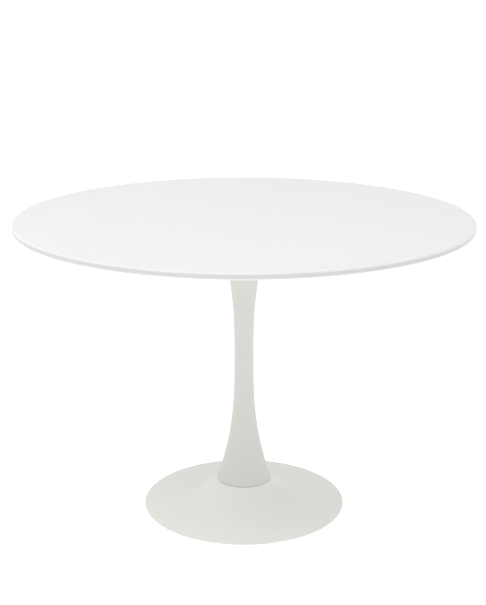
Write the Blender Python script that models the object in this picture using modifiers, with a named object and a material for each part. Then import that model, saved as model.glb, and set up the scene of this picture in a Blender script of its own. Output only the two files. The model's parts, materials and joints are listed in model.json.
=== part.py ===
"""Round pedestal dining table, modelled piece by piece as it comes apart on a bench.

Units are metres and +Z is up. The origin is on the floor, in the middle of the base.
A lacquered board is screwed to a steel plate. One long tie rod pulls that plate, the hollow
column, the spun base cover and the cast-iron ballast together, with its nut inside the base.
"""

import math

import bmesh
import bpy

# ---------------------------------------------------------------- driving dimensions

TABLE_HEIGHT = 0.740
TOUCH_GAP = 0.0003  # left between two faces that touch

TOP_RADIUS = 0.550
TOP_THICKNESS = 0.015
TOP_UPPER_ROUND = 0.002
TOP_LOWER_ROUND = 0.003

PLATE_RADIUS = 0.170
PLATE_THICKNESS = 0.004
PLATE_CHAMFER = 0.0008

SCREW_COUNT = 8
SCREW_CIRCLE_RADIUS = 0.145
SCREW_RADIUS = 0.003
SCREW_LENGTH = 0.012
SCREW_HOLE_GAP = 0.0006
SCREW_HEAD_RADIUS = 0.006
SCREW_HEAD_HEIGHT = 0.0033
SCREW_SOCKET_WIDTH = 0.004
SCREW_SOCKET_DEPTH = 0.002

INSERT_WALL = 0.0016
INSERT_LENGTH = 0.011

COLUMN_WALL = 0.003
COLUMN_WAIST_RADIUS = 0.0239
COLUMN_FOOT_RADIUS = 0.0685
COLUMN_MOUTH_RADIUS = 0.0735
WAIST_LOW_Z = 0.370
WAIST_HIGH_Z = 0.400
FOOT_FLARE_POWER = 2.45
MOUTH_FLARE_POWER = 2.6

SPIGOT_HEIGHT = 0.006
SPIGOT_WALL = 0.005
SPIGOT_GAP = 0.0005
CENTRING_DISC_THICKNESS = 0.005
CENTRING_DISC_GAP = 0.0005

SEAM_RING_THICKNESS = 0.0014
SEAM_RING_RECESS = 0.0012

ROD_RADIUS = 0.006
ROD_HOLE_GAP = 0.0005
ROD_SPARE_END = 0.004
NUT_ACROSS_FLATS = 0.019
NUT_HEIGHT = 0.010
CLAMP_WASHER_RADIUS = 0.018
CLAMP_WASHER_THICKNESS = 0.003
LOCK_WASHER_WALL = 0.0045
LOCK_WASHER_THICKNESS = 0.0025
LOCK_WASHER_SPLIT = 0.0015

BASE_RADIUS = 0.2525
BASE_WALL = 0.002
BASE_RIM_HEIGHT = 0.0043
BASE_CROWN_HEIGHT = 0.0149  # where the dome would reach the table's axis
BASE_NECK_TOP_Z = 0.065
BASE_LIP_ROUND = 0.0015
BASE_FLARE_WIDTH = 0.137  # from the column's foot out to where only the dome is left
BASE_FLARE_POWER = 3.5
BASE_RIM_LAND = 0.006

BALLAST_RIM_GAP = 0.0375
BALLAST_FLOOR_GAP = 0.002
BALLAST_COVER_GAP = 0.0006
BALLAST_HUB_RADIUS = 0.046
BALLAST_HUB_FLANGE = 0.008
BALLAST_HUB_WALL = 0.010
BALLAST_HUB_TAPER = 0.006
BALLAST_HUB_FOOT_Z = 0.046
BALLAST_SHOULDER = 0.038
BALLAST_MOUTH_FLARE = 0.012
BALLAST_MOUTH_TOP_Z = 0.018

FLOOR_RING_THICKNESS = 0.0019
FLOOR_RING_WIDTH = 0.007
FLOOR_RING_RECESS = 0.0008

# Facets round each kind of turned piece.
TOP_STEPS = 96
BASE_STEPS = 64
BALLAST_STEPS = 40
COLUMN_STEPS = 36
PLATE_STEPS = 48
SMALL_STEPS = 16
FASTENER_STEPS = 12

# ---------------------------------------------------------------- heights that follow

TOP_UNDERSIDE_Z = TABLE_HEIGHT - TOP_THICKNESS
PLATE_TOP_Z = TOP_UNDERSIDE_Z - TOUCH_GAP
PLATE_UNDERSIDE_Z = PLATE_TOP_Z - PLATE_THICKNESS
COLUMN_MOUTH_Z = PLATE_UNDERSIDE_Z - TOUCH_GAP
SEAM_RING_LOW_Z = BASE_NECK_TOP_Z + TOUCH_GAP
SEAM_RING_TOP_Z = SEAM_RING_LOW_Z + SEAM_RING_THICKNESS
COLUMN_FOOT_Z = SEAM_RING_TOP_Z + TOUCH_GAP
HUB_TOP_Z = BASE_NECK_TOP_Z - BASE_WALL - TOUCH_GAP
HUB_CEILING_Z = HUB_TOP_Z - BALLAST_HUB_FLANGE
CLAMP_WASHER_LOW_Z = HUB_CEILING_Z - TOUCH_GAP - CLAMP_WASHER_THICKNESS
LOCK_WASHER_LOW_Z = CLAMP_WASHER_LOW_Z - TOUCH_GAP - LOCK_WASHER_THICKNESS
BASE_NUT_LOW_Z = LOCK_WASHER_LOW_Z - TOUCH_GAP - NUT_HEIGHT
PLATE_NUT_LOW_Z = PLATE_UNDERSIDE_Z - TOUCH_GAP - NUT_HEIGHT
RIM_BOTTOM_Z = FLOOR_RING_THICKNESS + TOUCH_GAP
ROD_BORE_RADIUS = ROD_RADIUS + ROD_HOLE_GAP
INSERT_BORE_RADIUS = SCREW_RADIUS + TOUCH_GAP
INSERT_RADIUS = INSERT_BORE_RADIUS + INSERT_WALL


# ---------------------------------------------------------------- the shapes' rules

def column_radius(z):
    """Outside radius of the column at a height."""
    if z < WAIST_LOW_Z:
        share = (WAIST_LOW_Z - z) / (WAIST_LOW_Z - COLUMN_FOOT_Z)
        return COLUMN_WAIST_RADIUS + (COLUMN_FOOT_RADIUS - COLUMN_WAIST_RADIUS) * share**FOOT_FLARE_POWER
    if z > WAIST_HIGH_Z:
        share = (z - WAIST_HIGH_Z) / (COLUMN_MOUTH_Z - WAIST_HIGH_Z)
        return COLUMN_WAIST_RADIUS + (COLUMN_MOUTH_RADIUS - COLUMN_WAIST_RADIUS) * share**MOUTH_FLARE_POWER
    return COLUMN_WAIST_RADIUS


def column_bore(z):
    return column_radius(z) - COLUMN_WALL


def dome_height(radius):
    """Height of the base's outer surface over the floor, out on its low dome."""
    fall = (radius / BASE_RADIUS) ** 2
    return BASE_CROWN_HEIGHT + (BASE_RIM_HEIGHT - BASE_CROWN_HEIGHT) * fall


def base_height(radius):
    """Height of the base's outer surface: the dome, and the flare that rises from it to the neck."""
    outer_radius = COLUMN_FOOT_RADIUS + BASE_FLARE_WIDTH
    share = max(outer_radius - radius, 0) / BASE_FLARE_WIDTH
    rise = BASE_NECK_TOP_Z - dome_height(COLUMN_FOOT_RADIUS)
    return dome_height(radius) + rise * share**BASE_FLARE_POWER


def spaced(start, end, count):
    """Evenly spaced values, with both ends."""
    return [start + (end - start) * i / (count - 1) for i in range(count)]


def arc(centre, radius, start_deg, end_deg, count):
    """Points on an arc in the (radius, height) half plane."""
    points = []
    for degrees in spaced(start_deg, end_deg, count):
        angle = math.radians(degrees)
        points.append((centre[0] + radius * math.cos(angle), centre[1] + radius * math.sin(angle)))
    return points


def bend(start, corner, end, count):
    """A fillet that leaves start towards corner and arrives at end from it."""
    points = []
    for t in spaced(0, 1, count):
        weights = ((1 - t) ** 2, 2 * t * (1 - t), t**2)
        points.append(tuple(sum(w * p[k] for w, p in zip(weights, (start, corner, end))) for k in (0, 1)))
    return points


def offset(points, distance):
    """The points moved to the right of the way they run, which is inwards on a falling outside."""
    moved = []
    for i, (radius, height) in enumerate(points):
        before = points[max(i - 1, 0)]
        after = points[min(i + 1, len(points) - 1)]
        run = (after[0] - before[0], after[1] - before[1])
        length = math.hypot(*run)
        moved.append((radius + distance * run[1] / length, height - distance * run[0] / length))
    return moved


# ---------------------------------------------------------------- making objects

def new_collection(name):
    collection = bpy.data.collections.new(name)
    bpy.context.scene.collection.children.link(collection)
    return collection


def new_material(name, colour, roughness, metallic):
    material = bpy.data.materials.new(name)
    material.use_nodes = True
    shader = material.node_tree.nodes["Principled BSDF"]
    shader.inputs["Base Color"].default_value = (*colour, 1)
    shader.inputs["Roughness"].default_value = roughness
    shader.inputs["Metallic"].default_value = metallic
    return material


def new_object(name, mesh, collection):
    made = bpy.data.objects.new(name, mesh)
    collection.objects.link(made)
    return made


def turned_mesh(name, profile, steps):
    """The solid that a profile of (radius, height) points sweeps about Z, as a mesh.

    A profile that starts and ends on the axis closes there, and any other one is a closed loop.
    """
    on_axis = profile[0][0] == 0 and profile[-1][0] == 0
    count = len(profile)
    edges = [(i, (i + 1) % count) for i in range(count - 1 if on_axis else count)]
    outline = bpy.data.meshes.new(name)
    outline.from_pydata([(radius, 0, height) for radius, height in profile], edges, [])
    source = bpy.data.objects.new(name, outline)
    screw = source.modifiers.new("Turn", "SCREW")
    screw.axis = "Z"
    screw.angle = 2 * math.pi
    screw.steps = steps
    screw.render_steps = steps
    screw.use_merge_vertices = True
    screw.merge_threshold = 0.00001
    return evaluated_mesh(source, name)


def evaluated_mesh(source, name):
    """The mesh that a loose object makes with its modifiers. The object itself is removed."""
    bpy.context.scene.collection.objects.link(source)
    graph = bpy.context.evaluated_depsgraph_get()
    mesh = bpy.data.meshes.new_from_object(source.evaluated_get(graph))
    bpy.data.objects.remove(source)
    mesh.name = name
    mesh.shade_smooth()
    mesh.set_sharp_from_angle(angle=math.radians(30))
    return mesh


def prism_mesh(name, sides, radius, low_z, high_z, centres=((0, 0),)):
    """One upright prism, or one at each centre in the same mesh."""
    shape = bmesh.new()
    for x, y in centres:
        made = bmesh.ops.create_cone(
            shape, cap_ends=True, segments=sides, radius1=radius, radius2=radius, depth=high_z - low_z
        )
        bmesh.ops.translate(shape, verts=made["verts"], vec=(x, y, (low_z + high_z) / 2))
    mesh = bpy.data.meshes.new(name)
    shape.to_mesh(mesh)
    shape.free()
    return mesh


def cut(mesh, cutter_mesh):
    """The mesh with the cutter taken out of it."""
    cutter = new_object(cutter_mesh.name, cutter_mesh, CUTTERS)
    cutter.hide_render = True
    cutter.display_type = "WIRE"
    source = bpy.data.objects.new(mesh.name, mesh)
    boolean = source.modifiers.new("Cut", "BOOLEAN")
    boolean.operation = "DIFFERENCE"
    boolean.object = cutter
    return evaluated_mesh(source, mesh.name)


def add_part(name, mesh, material, location=(0, 0, 0), turn=0):
    part = new_object(name, mesh, PARTS)
    if not mesh.materials:
        mesh.materials.append(material)
    part.location = location
    part.rotation_euler[2] = turn
    part.parent = ROOT
    return part


def screw_places():
    """(x, y, angle) of each screw under the top, the first one half a step round from +X."""
    step = 2 * math.pi / SCREW_COUNT
    angles = [(i + 0.5) * step for i in range(SCREW_COUNT)]
    return [(SCREW_CIRCLE_RADIUS * math.cos(a), SCREW_CIRCLE_RADIUS * math.sin(a), a) for a in angles]


def ring_profile(inner_radius, outer_radius, low_z, high_z):
    return [
        (inner_radius, high_z),
        (outer_radius, high_z),
        (outer_radius, low_z),
        (inner_radius, low_z),
    ]


# ---------------------------------------------------------------- the top and what holds it

def make_table_top():
    """The board: flat faces, a small round above and a larger one below, and blind holes beneath."""
    upper = arc(
        (TOP_RADIUS - TOP_UPPER_ROUND, TABLE_HEIGHT - TOP_UPPER_ROUND), TOP_UPPER_ROUND, 90, 0, 4
    )
    lower = arc(
        (TOP_RADIUS - TOP_LOWER_ROUND, TOP_UNDERSIDE_Z + TOP_LOWER_ROUND), TOP_LOWER_ROUND, 0, -90, 4
    )
    profile = [(0, TABLE_HEIGHT), *upper, *lower, (0, TOP_UNDERSIDE_Z)]
    holes = prism_mesh(
        "insert_holes",
        FASTENER_STEPS,
        INSERT_RADIUS + TOUCH_GAP,
        TOP_UNDERSIDE_Z - INSERT_LENGTH,
        TOP_UNDERSIDE_Z + INSERT_LENGTH + TOUCH_GAP,
        [(x, y) for x, y, _ in screw_places()],
    )
    add_part("table_top", cut(turned_mesh("table_top", profile, TOP_STEPS), holes), LACQUER)


def make_insert_nuts():
    """Threaded sleeves glued into the board, flush with its underside."""
    mesh = turned_mesh(
        "insert_nut",
        ring_profile(INSERT_BORE_RADIUS, INSERT_RADIUS, 0, INSERT_LENGTH),
        FASTENER_STEPS,
    )
    for number, (x, y, _) in enumerate(screw_places(), start=1):
        add_part(f"insert_nut_{number}", mesh, BRASS, (x, y, TOP_UNDERSIDE_Z))


def make_mounting_plate():
    """The steel plate between the board and the column, with a hole for each screw."""
    rim = [
        (PLATE_RADIUS - PLATE_CHAMFER, PLATE_TOP_Z),
        (PLATE_RADIUS, PLATE_TOP_Z - PLATE_CHAMFER),
        (PLATE_RADIUS, PLATE_UNDERSIDE_Z + PLATE_CHAMFER),
        (PLATE_RADIUS - PLATE_CHAMFER, PLATE_UNDERSIDE_Z),
    ]
    profile = [(ROD_BORE_RADIUS, PLATE_TOP_Z), *rim, (ROD_BORE_RADIUS, PLATE_UNDERSIDE_Z)]
    holes = prism_mesh(
        "screw_holes",
        FASTENER_STEPS,
        SCREW_RADIUS + SCREW_HOLE_GAP,
        PLATE_UNDERSIDE_Z - PLATE_THICKNESS,
        PLATE_TOP_Z + PLATE_THICKNESS,
        [(x, y) for x, y, _ in screw_places()],
    )
    add_part("mounting_plate", cut(turned_mesh("mounting_plate", profile, PLATE_STEPS), holes), POWDER_COAT)


def make_plate_screws():
    """Button-head screws, head down, that hold the board to the plate. Each has a key socket."""
    head = [
        (SCREW_HEAD_RADIUS, 0),
        (SCREW_HEAD_RADIUS * 0.94, -SCREW_HEAD_HEIGHT * 0.45),
        (SCREW_HEAD_RADIUS * 0.75, -SCREW_HEAD_HEIGHT * 0.8),
        (SCREW_HEAD_RADIUS * 0.5, -SCREW_HEAD_HEIGHT),
    ]
    profile = [(0, SCREW_LENGTH), (SCREW_RADIUS, SCREW_LENGTH), (SCREW_RADIUS, 0), *head, (0, -SCREW_HEAD_HEIGHT)]
    socket = prism_mesh(
        "key_socket",
        6,
        SCREW_SOCKET_WIDTH / math.sqrt(3),
        -SCREW_HEAD_HEIGHT - SCREW_SOCKET_DEPTH,
        -SCREW_HEAD_HEIGHT + SCREW_SOCKET_DEPTH,
    )
    mesh = cut(turned_mesh("plate_screw", profile, FASTENER_STEPS), socket)
    for number, (x, y, angle) in enumerate(screw_places(), start=1):
        add_part(f"plate_screw_{number}", mesh, ZINC, (x, y, PLATE_UNDERSIDE_Z - TOUCH_GAP), angle)


def make_column_spigot():
    """The ring under the plate that centres the column's mouth."""
    low_z = COLUMN_MOUTH_Z - SPIGOT_HEIGHT
    outer_radius = column_bore(low_z) - SPIGOT_GAP
    profile = ring_profile(outer_radius - SPIGOT_WALL, outer_radius, low_z, COLUMN_MOUTH_Z)
    add_part("column_spigot", turned_mesh("column_spigot", profile, COLUMN_STEPS), ZINC)


# ---------------------------------------------------------------- the column and the tie rod

def make_column():
    """The hollow waisted column, open at both ends."""
    heights = [
        *spaced(COLUMN_MOUTH_Z, WAIST_HIGH_Z, 8),
        *spaced(WAIST_LOW_Z, COLUMN_FOOT_Z, 8),
    ]
    outside = [(column_radius(z), z) for z in heights]
    inside = [(column_bore(z), z) for z in reversed(heights)]
    add_part("column", turned_mesh("column", outside + inside, COLUMN_STEPS), POWDER_COAT)


def make_seam_ring():
    """The gasket that shows as a fine line between the column and the base."""
    inner_radius = centring_disc_radius() + TOUCH_GAP
    outer_radius = COLUMN_FOOT_RADIUS - SEAM_RING_RECESS
    profile = ring_profile(inner_radius, outer_radius, SEAM_RING_LOW_Z, SEAM_RING_TOP_Z)
    add_part("seam_ring", turned_mesh("seam_ring", profile, COLUMN_STEPS), RUBBER)


def centring_disc_radius():
    return column_bore(SEAM_RING_LOW_Z + CENTRING_DISC_THICKNESS) - CENTRING_DISC_GAP


def make_centring_disc():
    """The disc on top of the base that keeps the column's foot in the middle."""
    low_z = SEAM_RING_LOW_Z
    profile = ring_profile(ROD_BORE_RADIUS, centring_disc_radius(), low_z, low_z + CENTRING_DISC_THICKNESS)
    add_part("centring_disc", turned_mesh("centring_disc", profile, COLUMN_STEPS), NYLON)


def make_tie_rod():
    """The long rod from the plate to below the nut in the base."""
    low_z = BASE_NUT_LOW_Z - ROD_SPARE_END
    high_z = PLATE_TOP_Z - TOUCH_GAP
    profile = [(0, high_z), (ROD_RADIUS, high_z), (ROD_RADIUS, low_z), (0, low_z)]
    add_part("tie_rod", turned_mesh("tie_rod", profile, FASTENER_STEPS), ZINC)


def make_nut(name, low_z):
    """A hexagon nut on the tie rod."""
    body = prism_mesh(name, 6, NUT_ACROSS_FLATS / math.sqrt(3), low_z, low_z + NUT_HEIGHT)
    bore = prism_mesh(
        f"{name}_bore", SMALL_STEPS, ROD_RADIUS + TOUCH_GAP, low_z - NUT_HEIGHT, low_z + 2 * NUT_HEIGHT
    )
    add_part(name, cut(body, bore), ZINC)


def make_clamp_washer():
    """The wide washer that spreads the nut's pull over the ballast's hub."""
    profile = ring_profile(
        ROD_BORE_RADIUS, CLAMP_WASHER_RADIUS, CLAMP_WASHER_LOW_Z, CLAMP_WASHER_LOW_Z + CLAMP_WASHER_THICKNESS
    )
    add_part("clamp_washer", turned_mesh("clamp_washer", profile, SMALL_STEPS), ZINC)


def make_lock_washer():
    """The split spring washer over the nut."""
    outer_radius = ROD_BORE_RADIUS + LOCK_WASHER_WALL
    high_z = LOCK_WASHER_LOW_Z + LOCK_WASHER_THICKNESS
    ring = turned_mesh(
        "lock_washer", ring_profile(ROD_BORE_RADIUS, outer_radius, LOCK_WASHER_LOW_Z, high_z), SMALL_STEPS
    )
    shape = bmesh.new()
    bmesh.ops.create_cube(shape, size=1)
    bmesh.ops.scale(shape, vec=(outer_radius, LOCK_WASHER_SPLIT, 3 * LOCK_WASHER_THICKNESS), verts=shape.verts)
    bmesh.ops.translate(shape, vec=(outer_radius * 0.8, 0, (LOCK_WASHER_LOW_Z + high_z) / 2), verts=shape.verts)
    split = bpy.data.meshes.new("lock_washer_split")
    shape.to_mesh(split)
    shape.free()
    add_part("lock_washer", cut(ring, split), ZINC)


# ---------------------------------------------------------------- the base

def base_outside():
    """The base's outer surface, from the lip under the column down the flare and out to the rim."""
    lip_radius = COLUMN_FOOT_RADIUS + BASE_LIP_ROUND
    lip = bend(
        (COLUMN_FOOT_RADIUS - BASE_LIP_ROUND, BASE_NECK_TOP_Z),
        (COLUMN_FOOT_RADIUS, BASE_NECK_TOP_Z),
        (lip_radius, base_height(lip_radius)),
        4,
    )
    rim_start = BASE_RADIUS - (BASE_RIM_HEIGHT - RIM_BOTTOM_Z)
    radii = [lip_radius + (rim_start - lip_radius) * t**1.4 for t in spaced(0, 1, 12)]
    return lip + [(radius, base_height(radius)) for radius in radii[1:]]


def make_base_cover():
    """The spun cover: a web under the column, the trumpet flare, a low dome and a hemmed rim."""
    outside = base_outside()
    rim = bend(outside[-1], (BASE_RADIUS, outside[-1][1]), (BASE_RADIUS, RIM_BOTTOM_Z), 4)
    land_radius = BASE_RADIUS - BASE_RIM_LAND
    inside = [point for point in offset(outside, BASE_WALL) if point[0] < land_radius - BASE_WALL]
    profile = [
        (ROD_BORE_RADIUS, BASE_NECK_TOP_Z),
        *outside,
        *rim[1:],
        (land_radius, RIM_BOTTOM_Z),
        (land_radius, dome_height(land_radius) - BASE_WALL),
        *reversed(inside),
        (ROD_BORE_RADIUS, BASE_NECK_TOP_Z - BASE_WALL),
    ]
    add_part("base_cover", turned_mesh("base_cover", profile, BASE_STEPS), POWDER_COAT)


def make_ballast():
    """The cast-iron weight: a hub up inside the flare, and a flat-bottomed disc that follows the cover.

    The recess for the nut flares at its mouth.
    """
    edge_radius = BASE_RADIUS - BALLAST_RIM_GAP
    hub_foot_radius = BALLAST_HUB_RADIUS + BALLAST_HUB_TAPER
    recess_radius = BALLAST_HUB_RADIUS - BALLAST_HUB_WALL
    lift = BASE_WALL + BALLAST_COVER_GAP
    under_cover = offset(base_outside(), lift)
    shoulder_radius = hub_foot_radius + BALLAST_SHOULDER
    disc = [point for point in under_cover if shoulder_radius < point[0] < edge_radius - lift]
    disc.append((edge_radius, base_height(edge_radius) - lift))
    shoulder = bend((hub_foot_radius, BALLAST_HUB_FOOT_Z), (hub_foot_radius, disc[0][1]), disc[0], 4)
    profile = [
        (ROD_BORE_RADIUS, HUB_TOP_Z),
        (BALLAST_HUB_RADIUS, HUB_TOP_Z),
        *shoulder,
        *disc[1:],
        (edge_radius, BALLAST_FLOOR_GAP),
        (recess_radius + BALLAST_MOUTH_FLARE, BALLAST_FLOOR_GAP),
        (recess_radius, BALLAST_MOUTH_TOP_Z),
        (recess_radius, HUB_CEILING_Z),
        (ROD_BORE_RADIUS, HUB_CEILING_Z),
    ]
    add_part("ballast", turned_mesh("ballast", profile, BALLAST_STEPS), CAST_IRON)


def make_floor_ring():
    """The thin non-slip ring under the rim, which is all that touches the floor."""
    outer_radius = BASE_RADIUS - FLOOR_RING_RECESS
    profile = ring_profile(outer_radius - FLOOR_RING_WIDTH, outer_radius, 0, FLOOR_RING_THICKNESS)
    add_part("floor_ring", turned_mesh("floor_ring", profile, BASE_STEPS), RUBBER)


# ---------------------------------------------------------------- building

for leftover in list(bpy.data.objects):
    bpy.data.objects.remove(leftover)

PARTS = new_collection("pedestal_table")
CUTTERS = new_collection("cutters")
ROOT = new_object("table_origin", None, PARTS)

LACQUER = new_material("white_lacquer", (0.90, 0.90, 0.89), 0.35, 0)
POWDER_COAT = new_material("white_powder_coat", (0.70, 0.70, 0.67), 0.45, 0)
CAST_IRON = new_material("cast_iron", (0.06, 0.06, 0.065), 0.7, 0.6)
ZINC = new_material("zinc_plated_steel", (0.62, 0.62, 0.60), 0.35, 1)
BRASS = new_material("brass", (0.62, 0.45, 0.18), 0.4, 1)
RUBBER = new_material("grey_rubber", (0.50, 0.50, 0.48), 0.7, 0)
NYLON = new_material("nylon", (0.55, 0.55, 0.53), 0.5, 0)

make_table_top()
make_insert_nuts()
make_mounting_plate()
make_plate_screws()
make_column_spigot()
make_column()
make_seam_ring()
make_centring_disc()
make_tie_rod()
make_nut("plate_nut", PLATE_NUT_LOW_Z)
make_clamp_washer()
make_lock_washer()
make_nut("base_nut", BASE_NUT_LOW_Z)
make_base_cover()
make_ballast()
make_floor_ring()
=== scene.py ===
"""Round pedestal table: the finished look of a lacquered top on a powder-coated trumpet pedestal.

The file is laid out as an add-on and is run as a script. It is in metres with +Z up, and every
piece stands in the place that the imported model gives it.
"""

import json
import math

import bmesh
import bpy
from bpy.props import FloatProperty, FloatVectorProperty, IntProperty, PointerProperty
from bpy.types import Operator, Panel, PropertyGroup
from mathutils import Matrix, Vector

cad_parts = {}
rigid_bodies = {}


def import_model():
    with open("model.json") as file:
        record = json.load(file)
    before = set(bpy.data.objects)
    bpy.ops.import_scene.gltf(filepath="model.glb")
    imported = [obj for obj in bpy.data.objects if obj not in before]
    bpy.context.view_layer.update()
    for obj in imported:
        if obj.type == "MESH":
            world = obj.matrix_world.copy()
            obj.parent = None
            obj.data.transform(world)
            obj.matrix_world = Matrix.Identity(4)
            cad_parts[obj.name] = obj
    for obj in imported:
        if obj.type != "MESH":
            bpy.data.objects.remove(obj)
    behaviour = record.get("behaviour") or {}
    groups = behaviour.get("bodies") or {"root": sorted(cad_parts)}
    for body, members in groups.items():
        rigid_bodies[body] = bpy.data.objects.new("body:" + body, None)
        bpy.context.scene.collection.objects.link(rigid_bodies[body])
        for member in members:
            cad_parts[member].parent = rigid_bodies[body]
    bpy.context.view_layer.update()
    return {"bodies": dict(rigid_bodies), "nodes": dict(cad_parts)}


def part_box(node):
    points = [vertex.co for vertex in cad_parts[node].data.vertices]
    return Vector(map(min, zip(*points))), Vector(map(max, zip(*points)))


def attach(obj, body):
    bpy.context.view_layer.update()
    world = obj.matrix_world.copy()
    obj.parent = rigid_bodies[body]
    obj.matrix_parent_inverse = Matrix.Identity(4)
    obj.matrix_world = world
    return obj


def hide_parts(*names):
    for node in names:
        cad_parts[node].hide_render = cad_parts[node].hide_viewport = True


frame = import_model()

bl_info = {
    "name": "Pedestal Table",
    "version": (1, 0, 0),
    "blender": (4, 5, 0),
    "location": "View3D > Sidebar > Pedestal Table",
    "description": "Builds a round pedestal table around its packed parts",
    "category": "Add Mesh",
}

BODY = next(iter(frame["bodies"]))


# ---------------------------------------------------------------- places read from the frame

def low(node):
    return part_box(node)[0]


def high(node):
    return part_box(node)[1]


def radius_of(node):
    """Outside radius of a piece that is round about the table's axis."""
    return high(node).x


def numbered(stem):
    """The names of the repeated pieces stem_1, stem_2 and so on."""
    return sorted(name for name in frame["nodes"] if name.startswith(stem + "_"))


def middle(node):
    return (low(node) + high(node)) / 2


def bore_of(node):
    """Inside radius of a round piece: how near its mesh comes to the axis."""
    return min(math.hypot(v.co.x, v.co.y) for v in frame["nodes"][node].data.vertices)


SCREWS = numbered("plate_screw")
INSERTS = numbered("insert_nut")
SCREW_CIRCLE = math.hypot(*middle(SCREWS[0]).xy)
TOP_RADIUS = radius_of("table_top")
TOP_LOW_Z = low("table_top").z
TOP_HIGH_Z = high("table_top").z
NECK_TOP_Z = high("base_cover").z
BASE_RADIUS = radius_of("base_cover")
RIM_LOW_Z = low("base_cover").z
ROD_BORE = bore_of("base_cover")

TOUCH_GAP = 0.0003  # left between two faces that touch
CUT_PAST = 0.004  # how far a cutter runs past the face it starts from

SCREW_RADIUS = 0.003
SCREW_HEAD_RADIUS = 0.006
SCREW_HOLE_RADIUS = 0.0036
SCREW_KEY_WIDTH = 0.004
SCREW_PITCH = 0.001
INSERT_BORE_RADIUS = 0.0033
INSERT_PITCH = 0.0016

HUB_RADIUS = 0.046
HUB_TAPER = 0.006  # how much wider the ballast's hub is at its foot
HUB_FOOT_Z = 0.046
HUB_FLANGE = 0.008
SHOULDER_WIDTH = 0.038  # from the hub's foot out to where the ballast follows the cover
RECESS_RADIUS = 0.036
RECESS_MOUTH_FLARE = 0.012
RECESS_MOUTH_HEIGHT = 0.016
BALLAST_COVER_GAP = 0.0006

KEY_LIGHT_AT, KEY_LIGHT_WIDTH = (-1.0, -1.5, 3.4), 1.7
LOW_LIGHT_AT, LOW_LIGHT_WIDTH = (-2.3, 2.3, 1.7), 2.0
FLOOR_REACH = 60.0
FLOOR_GREY = (0.12, 0.12, 0.12, 1)

GEOMETRY = ("Geometry", "NodeSocketGeometry")
NUMBER = "NodeSocketFloat"


# ---------------------------------------------------------------- settings

def size(name, description, default, smallest=0.0001):
    return FloatProperty(
        name=name, description=description, default=default, min=smallest, unit="LENGTH", precision=4
    )


def share(name, description, default, largest=1.0):
    return FloatProperty(name=name, description=description, default=default, min=0.0, max=largest)


def colour(name, description, default):
    return FloatVectorProperty(
        name=name, description=description, default=default, size=3, min=0.0, max=1.0, subtype="COLOR"
    )


def watts(name, description, default):
    return FloatProperty(name=name, description=description, default=default, unit="POWER")


class PedestalShape(PropertyGroup):
    """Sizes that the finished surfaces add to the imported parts."""

    top_upper_round: size("Upper edge round", "Radius of the board's upper edge", 0.002)
    top_lower_round: size("Lower edge round", "Radius of the board's lower edge", 0.003)
    waist_radius: size("Waist radius", "Radius of the column at its slimmest", 0.0239)
    waist_low: size("Waist bottom", "Height where the column starts to flare downwards", 0.370)
    waist_high: size("Waist top", "Height where the column starts to flare upwards", 0.400)
    foot_radius: size("Foot radius", "Outside radius of the column's foot", 0.0685)
    foot_power: FloatProperty(name="Foot flare", description="How late the foot flares", default=2.45)
    mouth_power: FloatProperty(name="Mouth flare", description="How late the mouth flares", default=2.6)
    column_wall: size("Column wall", "Thickness of the column's wall", 0.003)
    crown_height: size("Dome crown", "Height where the base's dome would meet the axis", 0.0149)
    rim_height: size("Rim height", "Height of the dome at the rim", 0.0043)
    base_wall: size("Base wall", "Thickness of the base cover", 0.002)
    lip_round: size("Lip round", "Round where the base's flare meets the column", 0.0015)
    flare_width: size("Flare width", "From the column's foot out to where only the dome is left", 0.137)
    flare_power: FloatProperty(name="Base flare", description="How late the base flares up", default=3.5)
    rim_land: size("Rim land", "Width of the flat under the rim", 0.006)
    thread_pitch: size("Rod pitch", "Pitch of the tie rod's thread", 0.00175)
    sides: IntProperty(name="Sides", description="Facets round the large pieces", default=256, min=32)


class PedestalFinish(PropertyGroup):
    """Colours and surface values of the finishes."""

    lacquer: colour("Lacquer", "The board's white lacquer", (0.872, 0.872, 0.874))
    # The edge colour is painted shade: the board's edge is darker than its top because it faces
    # sideways, away from the light above.
    painted_edge_shade: colour("Edge band", "The greyer paint round the board's edge", (0.63, 0.63, 0.632))
    powder: colour("Powder coat", "The warm white coat of the base and the plate", (0.777, 0.787, 0.741))
    # The column's coat is greyer than the base's powder partly as a different paint and partly as
    # painted shade: the column stands in the board's shade, the base faces the light.
    coat: colour("Column coat", "The column's slightly greyer coat", (0.652, 0.66, 0.621))
    rubber: colour("Rubber", "The gasket and the ring under the rim", (0.78, 0.78, 0.75))
    zinc: colour("Zinc", "Zinc-plated steel", (0.60, 0.61, 0.60))
    brass: colour("Brass", "The threaded sleeves", (0.62, 0.45, 0.18))
    iron: colour("Iron", "The cast-iron ballast", (0.055, 0.055, 0.06))
    nylon: colour("Nylon", "The centring disc", (0.55, 0.55, 0.53))
    lacquer_roughness: share("Lacquer roughness", "How matt the lacquer is", 0.34)
    powder_roughness: share("Powder roughness", "How matt the powder coat is", 0.5)


class PedestalStage(PropertyGroup):
    """The camera, the floor and the lights."""

    focal_length: FloatProperty(name="Focal length", description="The camera's lens", default=73.25)
    distance: size("Distance", "How far the camera stands from the table's axis", 2.902)
    height: size("Height", "The camera's height", 1.341)
    sideways: size("Sideways", "The camera's offset", -0.00245, -1.0)
    pitch: FloatProperty(
        name="Pitch",
        description="How far the camera looks down",
        default=math.radians(15.69),
        subtype="ANGLE",
    )
    sky: share("Sky", "Strength of the white surroundings", 0.83, 10.0)
    key: watts("Key light", "Power of the high light at the front left", 24.0)
    low: watts("Low light", "Power of the low light at the back left", 6.0)
    floor_glow: share("Floor glow", "How much of the floor's white is its own", 1.1, 10.0)


def shape():
    return bpy.context.scene.pedestal_shape


def finish():
    return bpy.context.scene.pedestal_finish


# ---------------------------------------------------------------- node trees

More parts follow.
